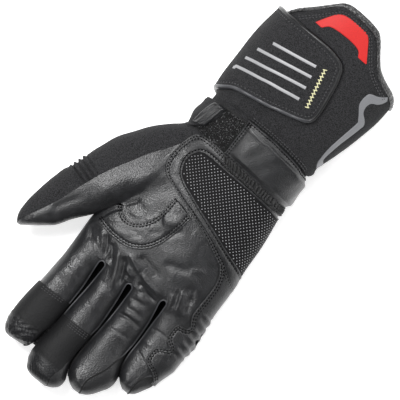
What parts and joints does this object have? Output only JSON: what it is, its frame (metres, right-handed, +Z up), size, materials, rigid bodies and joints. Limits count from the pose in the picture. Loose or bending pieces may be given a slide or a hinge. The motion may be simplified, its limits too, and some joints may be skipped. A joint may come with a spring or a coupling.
{
  "type": "winter motorcycle glove",
  "caption": "Right-hand padded leather and cloth gauntlet glove with wrist strap, wide cuff strap, grip patch and ribbed thumb.",
  "frame": {"origin": "on the surface that the glove lies on, under the back of the hand", "axes": "+Y from the fingertips to the cuff, -X to the thumb, +Z up out of the palm"},
  "size_m": [0.166, 0.3514, 0.0815],
  "materials": {
    "leather": "semi-gloss black goatskin",
    "textile": "matt black shell cloth",
    "grip": "black with raised light dots",
    "loop": "black loop pile",
    "binding": "glossy black binding",
    "reflective": "light grey reflective print",
    "stripe": "grey reflective print",
    "red": "matt red cloth"
  },
  "bodies": {
    "root": {"palm_leather": "leather", "thumb_leather": "leather", "thumb_textile": "textile", "back_textile": "textile", "fourchette_index_middle": "leather", "fourchette_middle_ring": "leather", "fourchette_ring_little": "leather", "wrist_gather": "textile", "wrist_leather": "leather", "heel_frame": "leather", "heel_grip": "grip", "thumb_saddle": "leather", "side_guard": "leather", "index_tip": "leather", "middle_tip": "leather", "loop_patch": "loop", "wrist_strap": "textile", "strap_pull": "binding", "cuff_textile": "textile", "cuff_binding": "binding", "cuff_strap": "textile", "cuff_strap_binding": "binding", "reflective_line_1": "reflective", "reflective_line_2": "reflective", "reflective_line_3": "reflective", "reflective_line_4": "reflective", "red_patch": "red", "side_stripe": "stripe"}
  },
  "joints": []
}
